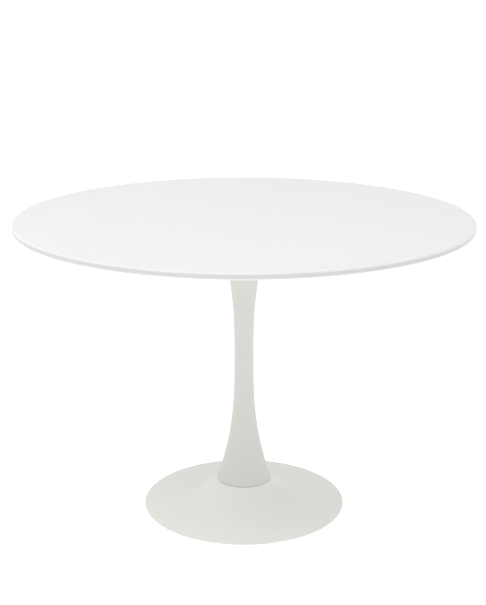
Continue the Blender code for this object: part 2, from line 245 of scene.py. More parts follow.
def add_node(tree, kind, inputs=None, **settings):
    """A node with its settings made and its inputs linked or set."""
    node = tree.nodes.new(kind)
    for name, value in settings.items():
        setattr(node, name, value)
    for key, value in (inputs or {}).items():
        feed(tree, node.inputs[key], value)
    return node


def feed(tree, socket, value):
    if isinstance(value, bpy.types.NodeSocket):
        tree.links.new(value, socket)
    else:
        socket.default_value = value


def new_tree(name, kind, inputs, outputs):
    """A node group with named sockets. Returns it, what it is given and what it makes."""
    tree = bpy.data.node_groups.new(name, kind)
    for label, socket_type, default in inputs:
        socket = tree.interface.new_socket(label, in_out="INPUT", socket_type=socket_type)
        if default is not None:
            socket.default_value = default
    for label, socket_type in outputs:
        tree.interface.new_socket(label, in_out="OUTPUT", socket_type=socket_type)
    given, made = tree.nodes.new("NodeGroupInput"), tree.nodes.new("NodeGroupOutput")
    return tree, given.outputs, made.inputs


def calc(tree, operation, *values):
    """The result of a math node."""
    node = add_node(tree, "ShaderNodeMath", dict(enumerate(values)), operation=operation)
    return node.outputs[0]


def ramp(tree, value, start, full):
    """A mask that rises from 0 to 1 between two values, and the second may be the smaller."""
    node = add_node(tree, "ShaderNodeMapRange", {"Value": value, "From Min": start, "From Max": full})
    return node.outputs[0]


def flare(tree, distance, length, amount, power):
    """How much a flare adds to the waist: nothing inside the waist, and the whole amount at its end."""
    reach = calc(tree, "MAXIMUM", calc(tree, "DIVIDE", distance, length), 0.0)
    return calc(tree, "MULTIPLY", amount, calc(tree, "POWER", reach, power))


def noise(tree, where, scale, detail, roughness=0.5):
    """A cloudy value over a surface."""
    values = {"Vector": where, "Scale": scale, "Detail": detail, "Roughness": roughness}
    return add_node(tree, "ShaderNodeTexNoise", values).outputs[0]


def point_round_axis(tree, radius, angle, height):
    across = calc(tree, "MULTIPLY", radius, calc(tree, "COSINE", angle))
    sideways = calc(tree, "MULTIPLY", radius, calc(tree, "SINE", angle))
    return add_node(tree, "ShaderNodeCombineXYZ", {0: across, 1: sideways, 2: height}).outputs[0]


def shell_tree():
    """Geometry nodes that make a waisted, hollow, turned shell from its sizes."""
    tree, given, made = new_tree(
        "Waisted Shell",
        "GeometryNodeTree",
        [
            ("Foot Z", NUMBER, 0.0),
            ("Mouth Z", NUMBER, 1.0),
            ("Waist Low Z", NUMBER, 0.4),
            ("Waist High Z", NUMBER, 0.6),
            ("Waist Radius", NUMBER, 0.1),
            ("Foot Radius", NUMBER, 0.2),
            ("Mouth Radius", NUMBER, 0.2),
            ("Foot Power", NUMBER, 2.0),
            ("Mouth Power", NUMBER, 2.0),
            ("Wall", NUMBER, 0.01),
            ("Rings", "NodeSocketInt", 64),
            ("Sides", "NodeSocketInt", 128),
            ("Material", "NodeSocketMaterial", None),
        ],
        [GEOMETRY],
    )
    last = calc(tree, "SUBTRACT", calc(tree, "MULTIPLY", given["Rings"], 2.0), 1.0)
    rows = calc(tree, "ADD", last, 2.0)
    columns = calc(tree, "ADD", given["Sides"], 1.0)
    grid = add_node(
        tree,
        "GeometryNodeMeshGrid",
        {"Size X": 1.0, "Size Y": 1.0, "Vertices X": rows, "Vertices Y": columns},
    )
    position = add_node(tree, "GeometryNodeInputPosition").outputs[0]
    spot = add_node(tree, "ShaderNodeSeparateXYZ", {0: position})
    along = calc(tree, "ADD", spot.outputs[0], 0.5)
    step = calc(tree, "ROUND", calc(tree, "MULTIPLY", along, calc(tree, "ADD", last, 1.0)))
    turn = calc(tree, "MULTIPLY", calc(tree, "ADD", spot.outputs[1], 0.5), math.tau)
    # The rows run down the outside, up the inside, and end where they began.
    inner = calc(
        tree,
        "MULTIPLY",
        calc(tree, "GREATER_THAN", step, calc(tree, "SUBTRACT", given["Rings"], 0.5)),
        calc(tree, "LESS_THAN", step, calc(tree, "ADD", last, 0.5)),
    )
    down = calc(tree, "MINIMUM", step, calc(tree, "ABSOLUTE", calc(tree, "SUBTRACT", last, step)))
    wrapped = calc(tree, "GREATER_THAN", step, calc(tree, "ADD", last, 0.5))
    down = calc(tree, "MULTIPLY", down, calc(tree, "SUBTRACT", 1.0, wrapped))
    part = calc(tree, "DIVIDE", down, calc(tree, "SUBTRACT", given["Rings"], 1.0))
    fall = calc(tree, "MULTIPLY", part, calc(tree, "SUBTRACT", given["Mouth Z"], given["Foot Z"]))
    height = calc(tree, "SUBTRACT", given["Mouth Z"], fall)
    foot = flare(
        tree,
        calc(tree, "SUBTRACT", given["Waist Low Z"], height),
        calc(tree, "SUBTRACT", given["Waist Low Z"], given["Foot Z"]),
        calc(tree, "SUBTRACT", given["Foot Radius"], given["Waist Radius"]),
        given["Foot Power"],
    )
    mouth = flare(
        tree,
        calc(tree, "SUBTRACT", height, given["Waist High Z"]),
        calc(tree, "SUBTRACT", given["Mouth Z"], given["Waist High Z"]),
        calc(tree, "SUBTRACT", given["Mouth Radius"], given["Waist Radius"]),
        given["Mouth Power"],
    )
    outside = calc(tree, "ADD", given["Waist Radius"], calc(tree, "ADD", foot, mouth))
    radius = calc(tree, "SUBTRACT", outside, calc(tree, "MULTIPLY", inner, given["Wall"]))
    point = point_round_axis(tree, radius, turn, height)
    moved = add_node(
        tree, "GeometryNodeSetPosition", {"Geometry": grid.outputs["Mesh"], "Position": point}
    )
    closed = add_node(
        tree, "GeometryNodeMergeByDistance", {"Geometry": moved.outputs[0], "Distance": 0.000001}
    )
    end_tree(tree, closed.outputs[0], given, made)
    return tree


def end_tree(tree, geometry, given, made):
    """Ends a geometry tree: real geometry with the material that the tree is given."""
    real = add_node(tree, "GeometryNodeRealizeInstances", {"Geometry": geometry})
    coat = {"Geometry": real.outputs[0], "Material": given["Material"]}
    painted = add_node(tree, "GeometryNodeSetMaterial", coat)
    tree.links.new(painted.outputs[0], made[0])


def circle_tree():
    """Geometry nodes that set copies of a piece on a circle, each turned to face outwards."""
    tree, given, made = new_tree(
        "Bolt Circle",
        "GeometryNodeTree",
        [
            (*GEOMETRY, None),
            ("Count", "NodeSocketInt", 8),
            ("Circle Radius", NUMBER, 0.1),
            ("Height", NUMBER, 0.0),
            ("Material", "NodeSocketMaterial", None),
        ],
        [GEOMETRY],
    )
    step = calc(tree, "DIVIDE", math.tau, given["Count"])
    index = add_node(tree, "GeometryNodeInputIndex").outputs[0]
    angle = calc(tree, "MULTIPLY", calc(tree, "ADD", index, 0.5), step)
    point = point_round_axis(tree, given["Circle Radius"], angle, given["Height"])
    points = add_node(tree, "GeometryNodePoints", {"Count": given["Count"], "Position": point})
    facing = add_node(tree, "ShaderNodeCombineXYZ", {2: angle})
    rotation = add_node(tree, "FunctionNodeEulerToRotation", {0: facing.outputs[0]})
    copies = add_node(
        tree,
        "GeometryNodeInstanceOnPoints",
        {"Points": points.outputs[0], "Instance": given["Geometry"], "Rotation": rotation.outputs[0]},
    )
    end_tree(tree, copies.outputs[0], given, made)
    return tree


def cast_tree():
    """Geometry nodes that give a smooth casting its slightly uneven sand-cast skin."""
    tree, given, made = new_tree(
        "Cast Skin",
        "GeometryNodeTree",
        [
            (*GEOMETRY, None),
            ("Depth", NUMBER, 0.0001),
            ("Grain", NUMBER, 60.0),
            ("Material", "NodeSocketMaterial", None),
        ],
        [GEOMETRY],
    )
    rough = add_node(tree, "ShaderNodeTexNoise", {"Scale": given["Grain"], "Detail": 3.0})
    depth = calc(tree, "MULTIPLY", calc(tree, "SUBTRACT", rough.outputs[0], 1.0), given["Depth"])
    normal = add_node(tree, "GeometryNodeInputNormal").outputs[0]
    shift = add_node(tree, "ShaderNodeVectorMath", {0: normal, "Scale": depth}, operation="SCALE")
    moved = add_node(
        tree, "GeometryNodeSetPosition", {"Geometry": given["Geometry"], "Offset": shift.outputs[0]}
    )
    end_tree(tree, moved.outputs[0], given, made)
    return tree


def apply_tree(piece, tree, values):
    """Runs a geometry tree on an object and leaves a plain mesh."""
    modifier = piece.modifiers.new(tree.name, "NODES")
    modifier.node_group = tree
    for item in tree.interface.items_tree:
        if item.item_type == "SOCKET" and item.in_out == "INPUT" and item.name in values:
            modifier[item.identifier] = values[item.name]
    return settled(piece)


# ---------------------------------------------------------------- meshes

def new_piece(name, mesh=None):
    piece = bpy.data.objects.new(name, mesh or bpy.data.meshes.new(name))
    bpy.context.scene.collection.objects.link(piece)
    return piece


def settled(piece):
    """Makes the object's modifiers real, so that what is left is a plain mesh with outward faces."""
    graph = bpy.context.evaluated_depsgraph_get()
    mesh = bpy.data.meshes.new_from_object(piece.evaluated_get(graph))
    piece.modifiers.clear()
    spent = piece.data
    piece.data = mesh
    bpy.data.meshes.remove(spent)
    mesh.name = piece.name
    work = bmesh.new()
    work.from_mesh(mesh)
    if work.calc_volume(signed=True) < 0:
        bmesh.ops.reverse_faces(work, faces=work.faces)
    work.to_mesh(mesh)
    work.free()
    return piece


def smooth(piece, degrees=35):
    piece.data.shade_smooth()
    piece.data.set_sharp_from_angle(angle=math.radians(degrees))
    return piece


def turned(name, profile, sides):
    """A piece turned about Z from (radius, height) points, which run down its outside."""
    on_axis = profile[0][0] == 0 and profile[-1][0] == 0
    count = len(profile)
    edges = [(i, (i + 1) % count) for i in range(count - 1 if on_axis else count)]
    piece = new_piece(name)
    piece.data.from_pydata([(radius, 0, height) for radius, height in profile], edges, [])
    screw = piece.modifiers.new("Turn", "SCREW")
    screw.steps = sides
    screw.render_steps = sides
    screw.use_merge_vertices = True
    screw.merge_threshold = 0.000005
    return smooth(settled(piece))


def spaced(start, end, count):
    return [start + (end - start) * i / (count - 1) for i in range(count)]


def straight(start, end, count):
    """Points spaced evenly from one (radius, height) point to another."""
    return list(zip(*(spaced(a, b, count) for a, b in zip(start, end))))


def arc(centre, radius, start_deg, end_deg, count=9):
    angles = [math.radians(degrees) for degrees in spaced(start_deg, end_deg, count)]
    return [(centre[0] + radius * math.cos(a), centre[1] + radius * math.sin(a)) for a in angles]


def bend(start, corner, end, count):
    """A fillet that leaves start towards corner and arrives at end from it."""
    points = []
    for t in spaced(0, 1, count):
        shares = list(zip(((1 - t) ** 2, 2 * t * (1 - t), t**2), (start, corner, end)))
        points.append(tuple(sum(w * p[k] for w, p in shares) for k in (0, 1)))
    return points


def ring_outline(inner, outer, low_z, high_z, edge):
    """A ring's section with its four edges rounded off."""
    return [
        *arc((inner + edge, high_z - edge), edge, 180, 90, 4),
        *arc((outer - edge, high_z - edge), edge, 90, 0, 4),
        *arc((outer - edge, low_z + edge), edge, 0, -90, 4),
        *arc((inner + edge, low_z + edge), edge, 270, 180, 4),
    ]


def offset(points, distance):
    """The points moved to the right of the way they run."""
    moved = []
    for i, (radius, height) in enumerate(points):
        before = points[max(i - 1, 0)]
        after = points[min(i + 1, len(points) - 1)]
        run = (after[0] - before[0], after[1] - before[1])
        length = math.hypot(*run)
        moved.append((radius + distance * run[1] / length, height - distance * run[0] / length))
    return moved


def threaded(name, rows, pitch, sides):
    """A turned bar whose rows of (radius, height, thread depth) carry a right-hand thread."""
    points = []
    for radius, height, depth in rows:
        for k in range(sides):
            wave = abs(((height / pitch - k / sides) % 1) * 2 - 1)
            reach = radius - depth * wave
            angle = math.tau * k / sides
            points.append((reach * math.cos(angle), reach * math.sin(angle), height))
    faces = []
    for row in range(len(rows) - 1):
        for k in range(sides):
            here = row * sides + k
            beside = row * sides + (k + 1) % sides
            faces.append((here, here + sides, beside + sides, beside))
    faces.append(tuple(range(sides)))
    faces.append(tuple(reversed(range((len(rows) - 1) * sides, len(rows) * sides))))
    piece = new_piece(name)
    piece.data.from_pydata(points, [], faces)
    return settled(piece)


def cut(piece, cutter, operation="DIFFERENCE"):
    """Cuts one piece with another, which is then removed."""
    boolean = piece.modifiers.new("Cut", "BOOLEAN")
    boolean.operation = operation
    boolean.object = cutter
    settled(piece)
    bpy.data.objects.remove(cutter)
    return smooth(piece)


def prism(name, sides, radius, low_z, high_z):
    piece = new_piece(name)
    work = bmesh.new()
    bmesh.ops.create_cone(
        work, cap_ends=True, segments=sides, radius1=radius, radius2=radius, depth=high_z - low_z
    )
    bmesh.ops.translate(work, verts=work.verts, vec=(0, 0, (low_z + high_z) / 2))
    work.to_mesh(piece.data)
    work.free()
    return piece


def place(piece, slot, *nodes):
    """Gives a finished piece its slot's finish, hides the nodes it stands for, and attaches it to its
    body.
    """
    piece.data.materials.clear()
    piece.data.materials.append(material(slot))
    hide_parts(*nodes)
    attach(piece, BODY)
    return piece


# ---------------------------------------------------------------- shader groups

def on_object(tree):
    """Where a point lies on its piece, in the piece's own coordinates."""
    return add_node(tree, "ShaderNodeTexCoord").outputs["Object"]


def grain_group():
    """Fine pebbled grain, such as sprayed lacquer or baked powder has."""
    tree, given, made = new_tree(
        "Sprayed Grain",
        "ShaderNodeTree",
        [("Scale", NUMBER, 900.0), ("Spread", NUMBER, 0.5)],
        [("Height", NUMBER), ("Speckle", NUMBER)],
    )
    where = on_object(tree)
    fine = noise(tree, where, given["Scale"], 2.0)
    cells = add_node(
        tree,
        "ShaderNodeTexVoronoi",
        {"Vector": where, "Scale": calc(tree, "MULTIPLY", given["Scale"], 0.45)},
        feature="SMOOTH_F1",
    )
    rounded = calc(tree, "MULTIPLY", cells.outputs["Distance"], given["Spread"])
    tree.links.new(calc(tree, "ADD", fine, rounded), made["Height"])
    tree.links.new(fine, made["Speckle"])
    return tree


def drift_group():
    """A slow drift of a value over the surface, between a low and a high end."""
    tree, given, made = new_tree(
        "Slow Drift",
        "ShaderNodeTree",
        [("Scale", NUMBER, 6.0), ("Low", NUMBER, 0.0), ("High", NUMBER, 1.0)],
        [("Value", NUMBER)],
    )
    where = on_object(tree)
    cloud = noise(tree, where, given["Scale"], 4.0, 0.6)
    ranged = add_node(
        tree,
        "ShaderNodeMapRange",
        {
            "Value": cloud,
            "From Min": 0.35,
            "From Max": 0.65,
            "To Min": given["Low"],
            "To Max": given["High"],
        },
    )
    tree.links.new(ranged.outputs[0], made["Value"])
    return tree


def scuff_group():
    """Hair-fine rub marks that run in two directions, as a mask."""
    tree, given, made = new_tree(
        "Rub Marks",
        "ShaderNodeTree",
        [("Scale", NUMBER, 40.0), ("Amount", NUMBER, 0.5)],
        [("Mask", NUMBER)],
    )
    where = on_object(tree)
    marks = []
    for angle, stretch in ((0.6, 0.02), (-0.35, 0.03)):
        laid = add_node(
            tree,
            "ShaderNodeMapping",
            {"Vector": where, "Rotation": (0, 0, angle), "Scale": (1.0, stretch, 1.0)},
        )
        streaks = noise(tree, laid.outputs[0], given["Scale"], 6.0)
        marks.append(ramp(tree, streaks, 0.62, 0.72))
    both = calc(tree, "MAXIMUM", *marks)
    tree.links.new(calc(tree, "MULTIPLY", both, given["Amount"]), made["Mask"])
    return tree


def lathe_group():
    """Rings left by turning, for plated and pressed steel."""
    tree, given, made = new_tree(
        "Turning Marks",
        "ShaderNodeTree",
        [("Scale", NUMBER, 3000.0)],
        [("Height", NUMBER)],
    )
    where = on_object(tree)
    parts = add_node(tree, "ShaderNodeSeparateXYZ", {0: where})
    flat = add_node(tree, "ShaderNodeCombineXYZ", {0: parts.outputs[0], 1: parts.outputs[1]})
    out = add_node(tree, "ShaderNodeVectorMath", {0: flat.outputs[0]}, operation="LENGTH")
    rings = add_node(tree, "ShaderNodeCombineXYZ", {0: out.outputs["Value"], 1: parts.outputs[2]})
    tree.links.new(noise(tree, rings.outputs[0], given["Scale"], 2.0), made["Height"])
    return tree


def effect(tree, group_name, values):
    """Places a shared effect in a material, with its own values."""
    node = tree.nodes.new("ShaderNodeGroup")
    node.node_tree = bpy.data.node_groups[group_name]
    for key, value in values.items():
        feed(tree, node.inputs[key], value)
    return node.outputs


def build_effects():
    for build in (grain_group, drift_group, scuff_group, lathe_group):
        build()


# ---------------------------------------------------------------- materials

def finish_name(slot):
    """Name of the slot's finish here. The frame's own plain material has the slot's bare name."""
    return f"{slot}_finish"


def new_finish(slot, base, metallic=0.0):
    """Starts a slot's finish with its shader's plain values. Returns its node tree and the shader."""
    made = bpy.data.materials.new(finish_name(slot))
    made.use_nodes = True
    made.diffuse_color = (*base, 1)
    tree = made.node_tree
    shader = tree.nodes["Principled BSDF"]
    shader.inputs["Base Color"].default_value = (*base, 1)
    shader.inputs["Metallic"].default_value = metallic
    return tree, shader


def tone(tree, base, low_share, mask):
    """The base colour, taken down to a share of itself where the mask is 1."""
    dim = tuple(channel * low_share for channel in base)
    mix = add_node(tree, "ShaderNodeMix", {0: mask}, data_type="RGBA")
    mix.inputs[6].default_value = (*base, 1)
    mix.inputs[7].default_value = (*dim, 1)
    return mix.outputs[2]


def vary(tree, level, mask, amount):
    """A level raised by an amount where the mask is 1."""
    return calc(tree, "ADD", level, calc(tree, "MULTIPLY", mask, amount))


def raise_skin(tree, shader, height, strength, depth):
    bump = add_node(tree, "ShaderNodeBump", {"Height": height, "Strength": strength, "Distance": depth})
    tree.links.new(bump.outputs[0], shader.inputs["Normal"])


def edge_shade_mask(tree):
    """Where painted shade goes on the board's edge: 1 on the middle of the edge, fading out over its two
    rounds, and 0 on its faces.
    """
    where = on_object(tree)
    flat = add_node(tree, "ShaderNodeVectorMath", {0: where, 1: (1, 1, 0)}, operation="MULTIPLY")
    reach = add_node(tree, "ShaderNodeVectorMath", {0: flat.outputs[0]}, operation="LENGTH")
    height = add_node(tree, "ShaderNodeSeparateXYZ", {0: where}).outputs[2]
    upper, lower = shape().top_upper_round, shape().top_lower_round
    on_rim = ramp(tree, reach.outputs["Value"], TOP_RADIUS - upper, TOP_RADIUS - 0.4 * upper)
    below_face = ramp(tree, height, TOP_HIGH_Z - 0.3 * upper, TOP_HIGH_Z - 2.6 * upper)
    above_foot = ramp(tree, height, TOP_LOW_Z + 0.4 * lower, TOP_LOW_Z + 1.6 * lower)
    return calc(tree, "MULTIPLY", on_rim, calc(tree, "MULTIPLY", below_face, above_foot))


def lacquer_finish():
    """Sprayed satin lacquer: near-flat white, with spray grain, faint rub marks and painted shade on the
    edge.
    """
    base = tuple(finish().lacquer)
    tree, shader = new_finish("white_lacquer", base)
    drift = effect(tree, "Slow Drift", {"Scale": 5.0})["Value"]
    rubs = effect(tree, "Rub Marks", {"Scale": 90.0, "Amount": 0.5})["Mask"]
    face = tone(tree, base, 0.985, drift)
    # Painted shade: the board's edge takes the darker edge colour where the mask is 1.
    coloured = add_node(tree, "ShaderNodeMix", {0: edge_shade_mask(tree), 6: face}, data_type="RGBA")
    coloured.inputs[7].default_value = (*finish().painted_edge_shade, 1)
    feed(tree, shader.inputs["Base Color"], coloured.outputs[2])
    rough = finish().lacquer_roughness
    worn = vary(tree, rough - 0.02, drift, 0.04)
    feed(tree, shader.inputs["Roughness"], vary(tree, worn, rubs, 0.05))
    grain = effect(tree, "Sprayed Grain", {"Scale": 420.0, "Spread": 0.3})["Height"]
    raise_skin(tree, shader, grain, 0.12, 0.00004)


def powder_finish(slot, base, rough):
    """Baked powder coat: an even warm white with a fine pebbled skin."""
    tree, shader = new_finish(slot, base)
    drift = effect(tree, "Slow Drift", {"Scale": 7.0})["Value"]
    grain = effect(tree, "Sprayed Grain", {"Scale": 760.0, "Spread": 0.6})
    feed(tree, shader.inputs["Base Color"], tone(tree, base, 0.985, drift))
    varied = vary(tree, rough - 0.03, grain["Speckle"], 0.04)
    feed(tree, shader.inputs["Roughness"], vary(tree, varied, drift, 0.02))
    raise_skin(tree, shader, grain["Height"], 0.2, 0.00005)


def steel_finish(slot, base, rough, ring_depth):
    """Plated or drawn metal with turning marks."""
    tree, shader = new_finish(slot, base, 1.0)
    drift = effect(tree, "Slow Drift", {"Scale": 45.0})["Value"]
    feed(tree, shader.inputs["Base Color"], tone(tree, base, 0.88, drift))
    feed(tree, shader.inputs["Roughness"], vary(tree, rough, drift, 0.1))
    marks = effect(tree, "Turning Marks", {"Scale": 2600.0})["Height"]
    raise_skin(tree, shader, marks, 0.25, ring_depth)


def iron_finish():
    """Sand-cast iron under a thin black dip, with bare grey showing through."""
    base = tuple(finish().iron)
    tree, shader = new_finish("cast_iron", base)
    grain = effect(tree, "Sprayed Grain", {"Scale": 260.0, "Spread": 1.0})
    drift = effect(tree, "Slow Drift", {"Scale": 14.0})["Value"]
    feed(tree, shader.inputs["Base Color"], tone(tree, base, 0.6, drift))
    feed(tree, shader.inputs["Metallic"], calc(tree, "MULTIPLY", drift, 0.45))
    feed(tree, shader.inputs["Roughness"], vary(tree, 0.6, grain["Speckle"], 0.2))
    raise_skin(tree, shader, grain["Height"], 0.6, 0.0003)


def moulded_finish(slot, base, rough, grain_scale):
    """Moulded rubber or plastic: matt, with a fine mould texture."""
    tree, shader = new_finish(slot, base)
    grain = effect(tree, "Sprayed Grain", {"Scale": grain_scale, "Spread": 0.8})
    drift = effect(tree, "Slow Drift", {"Scale": 30.0})["Value"]
    feed(tree, shader.inputs["Base Color"], tone(tree, base, 0.9, drift))
    feed(tree, shader.inputs["Roughness"], vary(tree, rough, drift, 0.06))
    raise_skin(tree, shader, grain["Height"], 0.3, 0.00006)


def build_finishes():
    colours = finish()
    lacquer_finish()
    powder_finish("white_powder_coat", tuple(colours.powder), colours.powder_roughness)
    # The column's colour is a greyer coat that also carries painted shade from the board above.
    powder_finish("white_coated_aluminium", tuple(colours.coat), colours.powder_roughness)
    steel_finish("zinc_plated_steel", tuple(colours.zinc), 0.3, 0.00002)
    steel_finish("brass", tuple(colours.brass), 0.32, 0.00003)
    iron_finish()
    moulded_finish("grey_rubber", tuple(colours.rubber), 0.72, 900.0)
    moulded_finish("nylon", tuple(colours.nylon), 0.5, 1200.0)


def material(slot):
    return bpy.data.materials[finish_name(slot)]


# ---------------------------------------------------------------- the rules of the pedestal's shape

def dome_height(radius):
    rule = shape()
    return rule.crown_height + (rule.rim_height - rule.crown_height) * (radius / BASE_RADIUS) ** 2


def base_height(radius):
    """Height of the base's outer surface: the dome, and the flare that rises from it to the column."""
    rule = shape()
    inward = max(rule.foot_radius + rule.flare_width - radius, 0) / rule.flare_width
    rise = NECK_TOP_Z - dome_height(rule.foot_radius)
    return dome_height(radius) + rise * inward**rule.flare_power


def base_outside():
    """The base's outer surface, from the lip under the column down the flare and out to the rim."""
    rule = shape()
    foot, lip_radius = rule.foot_radius, rule.foot_radius + rule.lip_round
    lip_end = (lip_radius, base_height(lip_radius))
    lip = bend((foot - rule.lip_round, NECK_TOP_Z), (foot, NECK_TOP_Z), lip_end, 9)
    rim_start = BASE_RADIUS - (rule.rim_height - RIM_LOW_Z)
    radii = [lip_radius + (rim_start - lip_radius) * t**1.3 for t in spaced(0, 1, 84)]
    return lip + [(radius, base_height(radius)) for radius in radii[1:]]


# ---------------------------------------------------------------- operators: one for each piece or group

class PEDESTAL_OT_table_top(Operator):
    """Makes the lacquered board with its rounded edges and blind holes"""

    bl_idname = "pedestal.table_top"
    bl_label = "Table top"

    def execute(self, context):
        rule = shape()
        upper, lower = rule.top_upper_round, rule.top_lower_round
        flat = TOP_RADIUS - upper
        profile = [
            (0, TOP_HIGH_Z),
            (flat - 0.004, TOP_HIGH_Z),
            *arc((flat, TOP_HIGH_Z - upper), upper, 90, 0, 9),
            *arc((TOP_RADIUS - lower, TOP_LOW_Z + lower), lower, 0, -90, 9),
            (TOP_RADIUS - lower - 0.004, TOP_LOW_Z),
            (0, TOP_LOW_Z),
        ]
        board = turned("table_top_visual", profile, rule.sides)
        depth = high(INSERTS[0]).z - TOP_LOW_Z
        hole = prism("insert_hole", 32, radius_in(INSERTS[0]) + TOUCH_GAP, -CUT_PAST, depth)
        on_circle(hole, TOP_LOW_Z, "white_lacquer")
        cut(board, hole)
        place(board, "white_lacquer", "table_top")
        return {"FINISHED"}


def radius_in(node):
    """Radius of a small upright round piece that stands away from the axis."""
    return (high(node).x - low(node).x) / 2


def on_circle(piece, height, slot):
    """Repeats a piece on the screws' circle."""
    values = {
        "Count": len(SCREWS),
        "Circle Radius": SCREW_CIRCLE,
        "Height": height,
        "Material": material(slot),
    }
    return apply_tree(piece, bpy.data.node_groups["Bolt Circle"], values)


class PEDESTAL_OT_insert_nuts(Operator):
    """Makes the brass sleeves that are glued into the board"""

    bl_idname = "pedestal.insert_nuts"
    bl_label = "Insert nuts"

    def execute(self, context):
        length = high(INSERTS[0]).z - low(INSERTS[0]).z
        outer = radius_in(INSERTS[0])
        heights = spaced(0, length, 64)
        rows = [(outer, z, 0.0 if z < 0.0012 or z > length - 0.0006 else 0.0005) for z in heights]
        sleeve = threaded("insert_nuts", rows, INSERT_PITCH, 40)
        bore = prism("insert_bore", 32, INSERT_BORE_RADIUS, -CUT_PAST, length + CUT_PAST)
        cut(sleeve, bore)
        smooth(on_circle(sleeve, low(INSERTS[0]).z, "brass"))
        place(sleeve, "brass", *INSERTS)
        return {"FINISHED"}


class PEDESTAL_OT_mounting_plate(Operator):
    """Makes the round steel plate with its eight screw holes"""

    bl_idname = "pedestal.mounting_plate"
    bl_label = "Mounting plate"

    def execute(self, context):
        lower, upper = low("mounting_plate").z, high("mounting_plate").z
        outline = ring_outline(ROD_BORE, radius_of("mounting_plate"), lower, upper, 0.0008)
        plate = turned("mounting_plate_visual", outline, 192)
        hole = prism("screw_hole", 32, SCREW_HOLE_RADIUS, -CUT_PAST, upper - lower + CUT_PAST)
        on_circle(hole, lower, "white_powder_coat")
        cut(plate, hole)
        place(plate, "white_powder_coat", "mounting_plate")
        return {"FINISHED"}


class PEDESTAL_OT_plate_screws(Operator):
    """Makes the button-head screws, head down, that hold the board"""

    bl_idname = "pedestal.plate_screws"
    bl_label = "Plate screws"

    def execute(self, context):
        head_low, tip = low(SCREWS[0]).z, high(SCREWS[0]).z
        seat = low("mounting_plate").z - TOUCH_GAP - head_low
        brim = 0.0006
        rise = seat - brim
        dome = [
            (SCREW_HEAD_RADIUS * math.cos(turn), rise - rise * math.sin(turn))
            for turn in spaced(0, 1.05, 12)
        ]
        outline = [(0, seat), (SCREW_HEAD_RADIUS - 0.0002, seat), *dome, (0, 0)]
        head = turned("plate_screws", outline, 40)
        socket = prism("key_socket", 6, SCREW_KEY_WIDTH / math.sqrt(3), -0.002, 0.002)
        cut(head, socket)
        end, plain_end = tip - head_low, seat + 0.0012
        rows = [
            (SCREW_RADIUS - (0.0004 if z >= end - brim else 0), z, 0.0003 if z >= plain_end else 0.0)
            for z in spaced(seat - brim, end, 96)
        ]
        shank = threaded("screw_shank", rows, SCREW_PITCH, 32)
        cut(head, shank, "UNION")
        smooth(on_circle(head, head_low, "zinc_plated_steel"))
        place(head, "zinc_plated_steel", *SCREWS)
        return {"FINISHED"}


class PEDESTAL_OT_column(Operator):
    """Makes the waisted column from its flare rule, with eased lips at both ends"""

    bl_idname = "pedestal.column"
    bl_label = "Column"

    def execute(self, context):
        rule = shape()
        column = new_piece("column_visual")
        values = {
            "Foot Z": low("column").z,
            "Mouth Z": high("column").z,
            "Waist Low Z": rule.waist_low,
            "Waist High Z": rule.waist_high,
            "Waist Radius": rule.waist_radius,
            "Foot Radius": rule.foot_radius,
            "Mouth Radius": radius_of("column"),
            "Foot Power": rule.foot_power,
            "Mouth Power": rule.mouth_power,
            "Wall": rule.column_wall,
            "Rings": 90,
            "Sides": 224,
            "Material": material("white_coated_aluminium"),
        }
        apply_tree(column, bpy.data.node_groups["Waisted Shell"], values)
        ease = column.modifiers.new("Eased lips", "BEVEL")
        ease.width = 0.0007
        ease.segments = 4
        ease.limit_method = "ANGLE"
        ease.angle_limit = math.radians(50)
        smooth(settled(column))
        place(column, "white_coated_aluminium", "column")
        return {"FINISHED"}


class PEDESTAL_OT_column_rings(Operator):
    """Makes the spigot in the column's mouth and the gasket and centring disc at its foot"""

    bl_idname = "pedestal.column_rings"
    bl_label = "Column rings"

    def execute(self, context):
        for node, slot, edge in (
            ("column_spigot", "zinc_plated_steel", 0.0006),
            ("seam_ring", "grey_rubber", 0.0005),
            ("centring_disc", "nylon", 0.0006),
        ):
            outline = ring_outline(bore_of(node), radius_of(node), low(node).z, high(node).z, edge)
            place(turned(f"{node}_visual", outline, 128), slot, node)
        return {"FINISHED"}


class PEDESTAL_OT_tie_rod(Operator):
    """Makes the tie rod, threaded at both ends"""

    bl_idname = "pedestal.tie_rod"
    bl_label = "Tie rod"

    def execute(self, context):
        rule = shape()
        start, end, outer = low("tie_rod").z, high("tie_rod").z, radius_of("tie_rod")
        step = rule.thread_pitch / 8
        lower_thread, upper_thread, run_out = 0.045, 0.03, 0.005
        depth, point = 0.00075, 0.001
        lower = spaced(start, start + lower_thread, round(lower_thread / step))
        upper = spaced(end - upper_thread, end, round(upper_thread / step))
        plain = spaced(start + lower_thread + run_out, end - upper_thread - run_out, 24)
        rows = [(outer - (point if z - start < point else 0), z, depth) for z in lower[:-1]]
        rows += [(outer, z, 0.0) for z in (lower[-1], *plain, upper[0])]
        rows += [(outer - (point if end - z < point else 0), z, depth) for z in upper[1:]]
        rod = smooth(threaded("tie_rod_visual", rows, rule.thread_pitch, 32), 60)
        place(rod, "zinc_plated_steel", "tie_rod")
        return {"FINISHED"}


